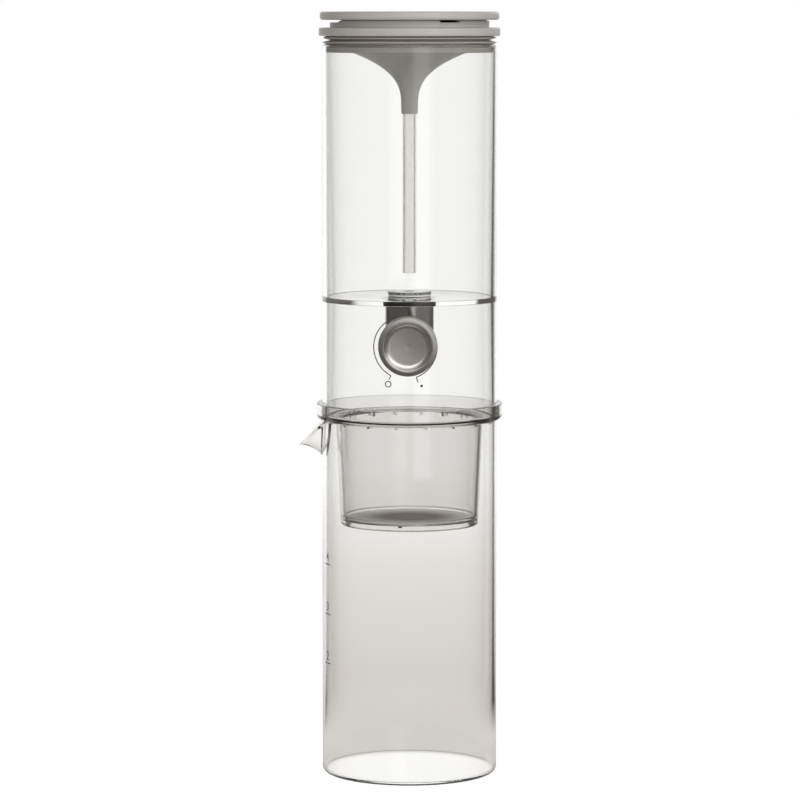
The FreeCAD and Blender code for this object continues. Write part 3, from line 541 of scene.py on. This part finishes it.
neckBore = lid["neck"] - lid["neckWall"]
ventLow = lid["neckTop"] - lid["vent"]
bm = lathe([
    (lid["mouth"], lid["ceiling"]),
    (lid["ring"] - lid["ringWall"], lid["ceiling"], 0.5),
    (lid["ring"] - lid["ringWall"], lid["low"], 0.4),
    (lid["ring"], lid["low"], 0.5),
    (lid["ring"], lid["ringTop"], 0.4),
    (lid["sealRoot"], lid["ringTop"]),
    (lid["sealRoot"], lid["flangeUnder"]),
    (lid["flange"], lid["flangeUnder"], lid["edge"]),
    (lid["flange"], lid["flangeTop"], lid["edge"]),
    (lid["neck"], lid["flangeTop"], 0.5),
    (lid["neck"], ventLow),
    (lid["neck"] - lid["gapDeep"], ventLow),
    (neckBore, ventLow),
    (neckBore, lid["floor"], 0.6),
    (lid["mouth"], lid["floor"]),
], lid["steps"])
extrudeFaces(bm, closedFaces(bm, ventLow, neckBore, lid["neck"]), lid["vent"] - lid["gapHigh"])
extrudeFaces(bm, closedFaces(bm, lid["neckTop"] - lid["gapHigh"], neckBore,
                             lid["neck"] - lid["gapDeep"]), lid["gapHigh"])
makePiece(bm, "lidBody", greyPolypropylene, "lid", ["lid_body"])

cap = {"radius": 43.8, "top": 375.1, "under": 373.3, "skirtOut": 36.1, "skirtIn": 34.6,
       "skirtDepth": 4.8, "edge": 1.3}
bm = lathe([
    (0, cap["under"]),
    (cap["skirtIn"], cap["under"], 0.3),
    (cap["skirtIn"], lid["neckTop"]),
    (cap["skirtOut"], lid["neckTop"]),
    (cap["radius"], lid["neckTop"], cap["edge"]),
    (cap["radius"], cap["top"], cap["edge"]),
    (0, cap["top"]),
], lid["steps"])
extrudeFaces(bm, closedFaces(bm, lid["neckTop"], cap["skirtIn"], cap["skirtOut"]),
             -cap["skirtDepth"])
makePiece(bm, "lidCap", greyPolypropylene, "cap", ["lid_cap"])

seal = {"bore": 37.02, "core": 38.7, "lip": 42.6, "low": 357.9, "step": 0.4, "high": 363.2,
        "lipUnder": 360.03, "tip": 0.3, "tipRound": 0.12, "valley": 361.2, "upper": 42.3,
        "upperUnder": 362.1, "slope": 1.6, "sharp": 40}
bm = lathe([
    (seal["bore"], seal["low"]),
    (seal["core"], seal["low"]),
    (seal["core"], seal["low"] + seal["step"]),
    (seal["lip"], seal["lipUnder"], seal["tipRound"]),
    (seal["lip"], seal["lipUnder"] + seal["tip"], seal["tipRound"]),
    (seal["core"], seal["valley"], 0.3),
    (seal["upper"], seal["upperUnder"], seal["tipRound"]),
    (seal["upper"], seal["upperUnder"] + seal["tip"], seal["tipRound"]),
    (seal["upper"] - seal["slope"], seal["high"]),
    (seal["bore"], seal["high"]),
])
makePiece(bm, "lidSeal", greySilicone, "lid", ["lid_seal"], seal["sharp"])

# the trumpet flares by a power of its height; its inside is the same curve, set higher
funnel = {"nose": 325.1, "tip": 4.0, "straight": 329.0, "radius": 4.15, "flare": 23.4,
          "flareHigh": 25.75, "power": 2.8, "socket": 3.32, "socketTop": 333.1, "bore": 2.3,
          "shift": 1.9, "insideFrom": 1, "flange": 1.8, "flangeHigh": 1.0, "points": 22,
          "spacing": 0.9, "steps": 180}


def trumpet(start, radius, top):
    points = []
    for i in range(funnel["points"] + 1):
        z = start + (top - start) * (i / funnel["points"]) ** funnel["spacing"]
        rise = (z - start) / funnel["flareHigh"]
        points.append((radius + funnel["flare"] * rise ** funnel["power"], z))
    return points


outside = trumpet(funnel["straight"], funnel["radius"], lid["ceiling"])
inside = [p for p in trumpet(funnel["straight"] + funnel["shift"], funnel["bore"], lid["floor"])
          if p[1] > funnel["socketTop"] + funnel["insideFrom"]]
flangeOut, flangeTop = outside[-1][0] + funnel["flange"], lid["floor"] + funnel["flangeHigh"]
bm = lathe([
    (funnel["socket"], funnel["nose"]),
    (funnel["tip"], funnel["nose"], 0.3),
    *outside,
    (outside[-1][0], lid["floor"]),
    (flangeOut, lid["floor"]),
    (flangeOut, flangeTop, 0.3),
    (inside[-1][0], flangeTop),
    *inside[::-1],
    (funnel["bore"], funnel["socketTop"]),
    (funnel["socket"], funnel["socketTop"]),
], funnel["steps"])
makePiece(bm, "funnel", greyPolypropylene, "lid", ["funnel"])

tube = {"out": 3.3, "bore": 2.3, "low": 247.3, "top": 333.0, "steps": 72}
bm = lathe([(tube["bore"], tube["low"], 0.3), (tube["out"], tube["low"], 0.3),
            (tube["out"], tube["top"]), (tube["bore"], tube["top"])], tube["steps"])
makePiece(bm, "airTube", milkyPolypropylene, "lid", ["air_tube"])
print("lid made")

# printed marks: thin raised ink, laid flat first and then wrapped on its wall; a place is
# (across, height), and the circle's and the dot's end with their radius
ink = {"deep": 0.05, "off": 0.03}
dial = {"radius": 15.3, "centre": (-1.3, 214.3), "left": 27, "right": 20, "line": 0.46,
        "ticks": (2.0, 2.6), "circle": (-9.6, 196.5, 1.6), "dot": (6.5, 195.7, 0.65),
        "arcSteps": 150, "circleSteps": 40, "dotSegments": 24}
measure = {"turn": -67.9, "levels": (56.3, 80.7, 105.3), "names": ("2", "3", "4"), "length": 7.0,
           "line": 0.45, "size": 4.4, "capitals": 0.7, "lift": 1.6, "cuts": 12}


def inkBar(bm, x0, z0, x1, z1, line):
    # a straight line from one place to another; gives its corners
    length = math.hypot(x1 - x0, z1 - z0)
    turn = Matrix.Rotation(math.atan2(z1 - z0, x1 - x0), 4, "Y").inverted()
    middle = Matrix.Translation(((x0 + x1) / 2 * mm, 0, (z0 + z1) / 2 * mm))
    return bmesh.ops.create_cube(bm, size=mm, matrix=middle @ turn @ Matrix.Diagonal(
        (length, ink["deep"], line, 1)))["verts"]


def inkArc(centre, radius, start, sweep, line, steps):
    # a bmesh with one round line; clockwise from straight down, as seen from the front
    bm = bmesh.new()
    bmesh.ops.create_grid(bm, x_segments=1, y_segments=1, size=mm / 2,
                          matrix=Matrix.Diagonal((line, ink["deep"], 1, 1)))
    bmesh.ops.translate(bm, verts=bm.verts, vec=(radius * mm, 0, 0))
    bmesh.ops.rotate(bm, verts=bm.verts, cent=(0, 0, 0),
                     matrix=Matrix.Rotation(math.radians(90 + start), 3, "Y"))
    bmesh.ops.spin(bm, geom=bm.faces[:] + bm.edges[:] + bm.verts[:], cent=(0, 0, 0),
                   axis=(0, 1, 0), angle=math.radians(sweep), steps=steps,
                   use_merge=sweep == 360, use_duplicate=False)
    bmesh.ops.translate(bm, verts=bm.verts, vec=(centre[0] * mm, 0, centre[1] * mm))
    return bm


def wrap(bm, radius, turn=0.0, flat=True):
    # flat: seen straight on from the front; otherwise rolled on by length and turned to its place
    for v in bm.verts:
        out = radius - v.co.y / mm
        angle = math.asin(v.co.x / mm / radius) if flat else v.co.x / mm / radius
        angle += math.radians(turn)
        v.co.x, v.co.y = out * math.sin(angle) * mm, -out * math.cos(angle) * mm
    bmesh.ops.remove_doubles(bm, verts=bm.verts, dist=tolerance["inkMerge"])
    bmesh.ops.recalc_face_normals(bm, faces=bm.faces)


scale = inkArc(dial["centre"], dial["radius"], dial["left"], 360 - dial["left"] - dial["right"],
               dial["line"], dial["arcSteps"])
for turn, tick in zip((-dial["left"], dial["right"]), dial["ticks"]):
    sine, cosine = math.sin(math.radians(turn)), math.cos(math.radians(turn))
    near, far = ((dial["centre"][0] + r * sine, dial["centre"][1] - r * cosine)
                 for r in (dial["radius"], dial["radius"] + tick))
    inkBar(scale, *near, *far, dial["line"])
x, z, radius = dial["circle"]
circle = inkArc((x, z), radius - dial["line"] / 2, 0, 360, dial["line"], dial["circleSteps"])
x, z, radius = dial["dot"]
addRod(circle, radius, ink["deep"], (x, 0, z), dial["dotSegments"])
join(scale, circle)
wrap(scale, tank["radius"] + ink["off"])
makePiece(scale, "flowScale", printInk, "tank")

marks = bmesh.new()
half = measure["length"] / 2
for level, name in zip(measure["levels"], measure["names"]):
    bar = inkBar(marks, -half, level, half, level, measure["line"])
    edges = [e for e in {e for v in bar for e in v.link_edges} if e.calc_length() > half * mm]
    bmesh.ops.subdivide_edges(marks, edges=edges, cuts=measure["cuts"], use_grid_fill=True)
    text = bpy.data.curves.new("numeral", "FONT")
    text.body, text.align_x = name, "CENTER"
    text.size = measure["size"] / measure["capitals"]  # a capital's share of the font's size
    text.extrude = ink["deep"] / 2
    holder = bpy.data.objects.new("numeral", text)
    bpy.context.scene.collection.objects.link(holder)
    numeral = finishedMesh(holder)
    bpy.data.objects.remove(holder)
    numeral.transform(Matrix.Translation((0, 0, (level + measure["lift"]) * mm))
                      @ toFront @ Matrix.Scale(mm, 4))
    marks.from_mesh(numeral)
wrap(marks, carafe["radius"] + ink["off"], measure["turn"], flat=False)
makePiece(marks, "volumeMarks", printInk, "carafe")
print("marks made")

# small parts that keep their frame shapes
kept = {"inlet_fitting": clearCopolyester, "drip_nozzle": turnedSteel, "gland_nut": turnedSteel,
        "spindle_bush": turnedSteel, "bush_nut": turnedSteel, "spindle": turnedSteel,
        "stop_collar": turnedSteel, "grub_screw": turnedSteel, "inlet_seal": whiteSilicone,
        "bush_gasket": whiteSilicone, "valve_gasket": darkRubber, "spindle_o_rings": darkRubber}
weldWithin = 0.002  # closes the loose triangles of a frame mesh
for name, material in kept.items():
    part = nodes[name]
    part.data.materials.clear()
    part.data.materials.append(material)
    for polygon in part.data.polygons:
        polygon.use_smooth = True
    weld = part.modifiers.new("weld", "WELD")
    weld.merge_threshold = weldWithin * mm
    split = part.modifiers.new("split", "EDGE_SPLIT")
    split.split_angle = math.radians(sharpAngle)
print("small parts dressed")


# studio, in metres: a pale floor under a round room that the camera doesn't see; the floor lies
# a hair under the object's foot

studio = {"wall": 1.3, "wallHigh": 2.2, "steps": 72, "cardGap": 0.05, "ambient": 0.42,
          "ambientColour": "#FFFEFC", "wallGlow": 1.12, "dimFrom": 0.6, "dimTo": 0.8,
          "dimColour": "#3A3735", "cardGlow": 2.2, "canopyGlow": 1.0, "canopyColour": "#F4F3F2"}
floor = {"half": 5.0, "under": 0.00005, "glow": 1.14, "shadow": 0.18, "paper": "#F4F3F1",
         "throughGlow": 1.12, "reach": 2.0, "beyond": (0.125, 0.22)}
strip = {"middle": 0.138, "half": 0.022}

# what the glass shows round the object. Flags are (degrees to the right of straight behind,
# colour): one narrow dark flag beside a white backdrop, and wide flags on both sides in a low
# strip, which the edge of the tank's floor sees
bright, flagGrey, roomGrey, paleCloth = "#FFFFFF", "#575451", "#6E6B68", "#F0EFEE"
rightFlag = ((14, bright), (24, "#ECEAE8"), (30, flagGrey))
leftFlag = ((-41, flagGrey), (-37, bright))
slit = ((-16, bright), (-14, "#E6E4E2"), (-12, bright))
narrow = rightFlag + ((36, flagGrey), (38, bright))
wide = leftFlag + rightFlag + ((-70, bright), (-66, flagGrey), (66, flagGrey), (70, bright))
floorMirror = leftFlag + rightFlag + ((60, "#77726E"), (-60, "#77726E"))
wallMirror = leftFlag + rightFlag + (
    (60, flagGrey), (80, roomGrey), (146, roomGrey), (156, paleCloth), (170, paleCloth),
    (178, roomGrey), (-80, roomGrey), (-60, flagGrey))
# painted shadow round the object's foot, darkest in a ring under the carafe's heel; only the glass
# shows it
# (share of the floor's reach out from the centre, colour)
paintedFloorShadow = ((0.0, "#EEEDEC"), (0.0198, "#EEEDEC"), (0.0200, "#6B6763"), (0.0230, "#6B6763"),
              (0.0238, "#C9C5C2"), (0.06, "#D0CCC9"), (0.20, "#DCD8D6"), (0.36, "#E6E3E1"),
              (0.65, "#FFFFFF"))


def setStops(ramp, stops):
    while len(ramp.color_ramp.elements) < len(stops):
        ramp.color_ramp.elements.new(0.5)
    for element, (place, colour) in zip(ramp.color_ramp.elements, stops):
        element.position, element.color = place, linear(colour)


def roundRamp(tree, stops):
    # flags laid round Z: a radial gradient starts at the left and is at 0.75 straight behind
    where = addNode(tree, "ShaderNodeTexCoord")
    gradient = addNode(tree, "ShaderNodeTexGradient", {"gradient_type": "RADIAL"},
                       {"Vector": where.outputs["Object"]})
    ramp = addNode(tree, "ShaderNodeValToRGB", {}, {0: gradient.outputs["Fac"]})
    setStops(ramp, sorted(((0.75 - turn / 360) % 1, colour) for turn, colour in stops))
    return ramp.outputs[0]


def backdropShare(tree):
    # rays that see the backdrop: from the camera, and on through glass or off a glossy face
    path = addNode(tree, "ShaderNodeLightPath")
    seen = addNode(tree, "ShaderNodeMath", {"operation": "MAXIMUM"},
                   {0: path.outputs["Is Glossy Ray"], 1: path.outputs["Is Transmission Ray"]})
    lit = addNode(tree, "ShaderNodeMath", {"operation": "LESS_THAN", 1: 0.5},
                  {0: path.outputs["Diffuse Depth"]})
    passed = addNode(tree, "ShaderNodeMath", {"operation": "MULTIPLY"},
                     {0: seen.outputs[0], 1: lit.outputs[0]})
    return path.outputs["Is Camera Ray"], passed.outputs[0]


def roundColour(tree, straight, mirrored):
    # one colour for what is seen straight through the glass, another for what its faces reflect
    path = addNode(tree, "ShaderNodeLightPath")
    reflected = addNode(tree, "ShaderNodeMath", {"operation": "GREATER_THAN", 1: 0.5},
                        {0: path.outputs["Glossy Depth"]})
    return addNode(tree, "ShaderNodeMix", {"data_type": "RGBA"}, {
        0: reflected.outputs[0], 6: straight, 7: mirrored}).outputs[2]


world = bpy.data.worlds.new("studioWorld")
bpy.context.scene.world = world
world.use_nodes = True
tree = world.node_tree
tree.nodes.clear()
camera, passed = backdropShare(tree)
white = addNode(tree, "ShaderNodeMath", {"operation": "MAXIMUM"}, {0: camera, 1: passed})
ambient = addNode(tree, "ShaderNodeBackground", {
    "Color": linear(studio["ambientColour"]), "Strength": studio["ambient"]})
backdrop = addNode(tree, "ShaderNodeBackground", {"Color": (1, 1, 1, 1), "Strength": 1.0})
mix = addNode(tree, "ShaderNodeMixShader", {}, {0: white.outputs[0], 1: ambient.outputs[0],
                                                2: backdrop.outputs[0]})
addNode(tree, "ShaderNodeOutputWorld", {}, {0: mix.outputs[0]})

# floor: white to the camera with the object's shadow; through the glass it shows a painted shadow,
# darker near the object
floorPaper = bpy.data.materials.new("palePaper")
floorPaper.use_nodes = True
tree = floorPaper.node_tree
tree.nodes.clear()
camera, passed = backdropShare(tree)
where = addNode(tree, "ShaderNodeTexCoord")
away = addNode(tree, "ShaderNodeVectorMath", {"operation": "LENGTH"}, {0: where.outputs["Object"]})
share = addNode(tree, "ShaderNodeMath", {"operation": "DIVIDE", 1: floor["reach"]},
                {0: away.outputs["Value"]})
# the painted shadow, by distance from the object's axis
ramp = addNode(tree, "ShaderNodeValToRGB", {}, {0: share.outputs[0]})
setStops(ramp, paintedFloorShadow)
beyond = addNode(tree, "ShaderNodeMapRange", {
    "From Min": floor["beyond"][0], "From Max": floor["beyond"][1]},
    {"Value": away.outputs["Value"]})
around = roundColour(tree, roundRamp(tree, narrow), roundRamp(tree, floorMirror))
tint = addNode(tree, "ShaderNodeMix", {"data_type": "RGBA", "blend_type": "MULTIPLY"},
               {0: beyond.outputs[0], 6: ramp.outputs[0], 7: around})
through = addNode(tree, "ShaderNodeEmission", {"Strength": floor["throughGlow"]},
                  {0: tint.outputs[2]})
paper = addNode(tree, "ShaderNodeBsdfDiffuse", {"Color": linear(floor["paper"])})
glow = addNode(tree, "ShaderNodeEmission", {"Color": (1, 1, 1, 1), "Strength": floor["glow"]})
shown = addNode(tree, "ShaderNodeMixShader", {0: floor["shadow"]},
                {1: glow.outputs[0], 2: paper.outputs[0]})
inner = addNode(tree, "ShaderNodeMixShader", {}, {0: passed, 1: paper.outputs[0],
                                                  2: through.outputs[0]})
mix = addNode(tree, "ShaderNodeMixShader", {}, {0: camera, 1: inner.outputs[0],
                                                2: shown.outputs[0]})
addNode(tree, "ShaderNodeOutputMaterial", {}, {0: mix.outputs[0]})
bm = bmesh.new()
bmesh.ops.create_grid(bm, x_segments=1, y_segments=1, size=floor["half"])
bmesh.ops.translate(bm, verts=bm.verts, vec=(0, 0, -floor["under"]))
addObject(bm, "paleFloor", floorPaper)


# walls: a white backdrop with soft grey edges for what shows through the glass, and a dark room
# for what its faces reflect, with two white cards just inside it that only glossy faces see
def stagePiece(bm, name, material, sees):
    # it is there only for the kinds of ray named in sees
    piece = addObject(bm, name, material)
    for kind in ("camera", "diffuse", "glossy", "transmission", "volume_scatter", "shadow"):
        setattr(piece, "visible_" + kind, kind in sees)


def screen(name, material, distance, start, end, low, high, sees):
    # an upright round screen, from start to end round Z from the front, positive to the right
    bm = bmesh.new()
    foot, head = bm.verts.new((0, -distance, low)), bm.verts.new((0, -distance, high))
    upright = bm.edges.new((foot, head))
    bmesh.ops.rotate(bm, verts=[foot, head], cent=(0, 0, 0),
                     matrix=Matrix.Rotation(math.radians(start), 3, "Z"))
    bmesh.ops.spin(bm, geom=[foot, head, upright], cent=(0, 0, 0), axis=(0, 0, 1),
                   angle=math.radians(end - start), steps=studio["steps"],
                   use_merge=end - start == 360, use_duplicate=False)
    stagePiece(bm, name, material, sees)


def glowing(name, strength):
    material = bpy.data.materials.new(name)
    material.use_nodes = True
    material.node_tree.nodes.clear()
    light = addNode(material.node_tree, "ShaderNodeEmission", {"Strength": strength})
    addNode(material.node_tree, "ShaderNodeOutputMaterial", {}, {0: light.outputs[0]})
    return material, material.node_tree, light


wallCloth, tree, light = glowing("wallCloth", studio["wallGlow"])
where = addNode(tree, "ShaderNodeTexCoord")
height = addNode(tree, "ShaderNodeSeparateXYZ", {}, {0: where.outputs["Object"]})
above = addNode(tree, "ShaderNodeMapRange", {
    "From Min": studio["dimFrom"], "From Max": studio["dimTo"]}, {"Value": height.outputs["Z"]})
low = addNode(tree, "ShaderNodeMath", {
    "operation": "COMPARE", 1: strip["middle"], 2: strip["half"]}, {0: height.outputs["Z"]})
behind = addNode(tree, "ShaderNodeMix", {"data_type": "RGBA"}, {
    0: low.outputs[0], 6: roundRamp(tree, slit + narrow), 7: roundRamp(tree, slit + wide)})
dimmed = addNode(tree, "ShaderNodeMix", {"data_type": "RGBA", 7: linear(studio["dimColour"])},
                 {0: above.outputs[0], 6: behind.outputs[2]})
around = roundColour(tree, dimmed.outputs[2], roundRamp(tree, wallMirror))
tree.links.new(around, light.inputs[0])
screen("studioWall", wallCloth, studio["wall"], 0, 360, 0, studio["wallHigh"],
       ("glossy", "transmission"))

cards = {"upperCard": (-30, 110, 0.6, 2.2), "backCard": (140, 200, 0.42, 1.1)}
cardPaper = glowing("cardPaper", studio["cardGlow"])[0]
for name, (start, end, low, high) in cards.items():
    screen(name, cardPaper, studio["wall"] - studio["cardGap"], start, end, low, high, ("glossy",))

# canopy: dark to what is seen straight through the glass, white by way of a reflection
canopyCloth, tree, light = glowing("canopyCloth", studio["canopyGlow"])
path = addNode(tree, "ShaderNodeLightPath")
shade = addNode(tree, "ShaderNodeMix", {
    "data_type": "RGBA", 6: linear(studio["dimColour"]), 7: linear(studio["canopyColour"])},
    {0: path.outputs["Glossy Depth"]})
tree.links.new(shade.outputs[2], light.inputs[0])
bm = bmesh.new()
bmesh.ops.create_circle(bm, cap_ends=True, segments=studio["steps"], radius=studio["wall"])
bmesh.ops.translate(bm, verts=bm.verts, vec=(0, 0, studio["wallHigh"]))
stagePiece(bm, "canopy", canopyCloth, ("transmission",))

# softboxes: place, target, size in metres, and watts
softboxes = {"keyLight": ((0.7, -1.05, 0.65), (0, 0, 0.25), (0.7, 0.9), 11),
             "fillLight": ((-1.2, -1.0, 0.55), (0, 0, 0.2), (1.0, 1.0), 5)}
for name, (place, target, size, power) in softboxes.items():
    lamp = bpy.data.lights.new(name, "AREA")
    lamp.shape, lamp.size, lamp.size_y = "RECTANGLE", size[0], size[1]
    lamp.energy = power
    holder = bpy.data.objects.new(name, lamp)
    holder.location = place
    holder.rotation_euler = (Vector(target) - Vector(place)).to_track_quat("-Z", "Y").to_euler()
    holder.visible_glossy = holder.visible_transmission = False
    bpy.context.scene.collection.objects.link(holder)

# camera: a long lens at the lid's height, looking slightly down; lens and sensor in millimetres
view = {"lens": 175.4, "sensor": 36, "near": 0.1, "far": 50, "distance": 1.91, "height": 0.374,
        "turn": 0.9, "down": 5.66, "aside": 0.14}
lens = bpy.data.cameras.new("camera")
lens.lens, lens.sensor_width = view["lens"], view["sensor"]
lens.clip_start, lens.clip_end = view["near"], view["far"]
cameraObject = bpy.data.objects.new("camera", lens)
turn = math.radians(view["turn"])
cameraObject.location = (view["distance"] * math.sin(turn), -view["distance"] * math.cos(turn),
                         view["height"])
cameraObject.rotation_euler = (math.radians(90 - view["down"]), 0,
                               turn + math.radians(view["aside"]))
bpy.context.scene.collection.objects.link(cameraObject)
bpy.context.scene.camera = cameraObject
bpy.context.scene.view_settings.view_transform = "Standard"
print("studio set")
